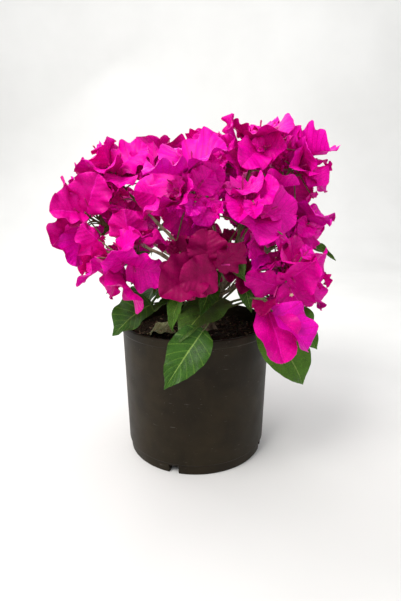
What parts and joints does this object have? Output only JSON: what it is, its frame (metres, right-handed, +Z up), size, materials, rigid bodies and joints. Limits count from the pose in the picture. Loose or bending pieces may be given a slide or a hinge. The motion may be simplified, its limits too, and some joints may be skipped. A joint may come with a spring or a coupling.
{
  "type": "potted flowering shrub",
  "caption": "Round bougainvillea bush, magenta three-bract flowers at the tips of thin boughs, green leaves below, in a round black nursery pot filled with soil.",
  "frame": {"origin": "centre of the pot's flat underside", "axes": "+Z up the plant, -Y towards the side that the picture shows, +X to that side's right"},
  "size_m": [0.3214, 0.2787, 0.3692],
  "materials": {
    "pot": "black moulded plastic, dull, lightly scuffed",
    "soil": "dark moist potting mix of peat and bark",
    "bark": "grey-brown bark, rough",
    "bracts": "thin papery magenta bracts, soft sheen",
    "leaves": "green leaves, satin",
    "dry_leaf": "dried pale leaf, dull"
  },
  "bodies": {
    "root": {"pot": "pot", "soil": "soil", "trunk": "bark", "bough_back_left": "bark", "bough_back_low": "bark", "bough_back_middle": "bark", "bough_back_right": "bark", "bough_crown_back": "bark", "bough_crown_left": "bark", "bough_crown_right": "bark", "bough_front_centre": "bark", "bough_front_low": "bark", "bough_front_right": "bark", "bough_left_front": "bark", "bough_left_shoulder": "bark", "bough_left_tip": "bark", "bough_right_front": "bark", "bough_right_shoulder": "bark", "bough_right_side": "bark", "blossom_back_left": "bracts", "blossom_back_low": "bracts", "blossom_back_middle": "bracts", "blossom_back_right": "bracts", "blossom_crown_back": "bracts", "blossom_crown_left": "bracts", "blossom_crown_right": "bracts", "blossom_front_centre": "bracts", "blossom_front_low": "bracts", "blossom_front_right": "bracts", "blossom_hanging": "bracts", "blossom_left_front": "bracts", "blossom_left_shoulder": "bracts", "blossom_left_tip": "bracts", "blossom_right_front": "bracts", "blossom_right_shoulder": "bracts", "blossom_right_side": "bracts", "leaves_back": "leaves", "leaves_back_left": "leaves", "leaves_back_right": "leaves", "leaves_far_right": "leaves", "leaves_front": "leaves", "leaves_left": "leaves", "leaves_right": "leaves", "dry_leaf": "dry_leaf"}
  },
  "joints": []
}
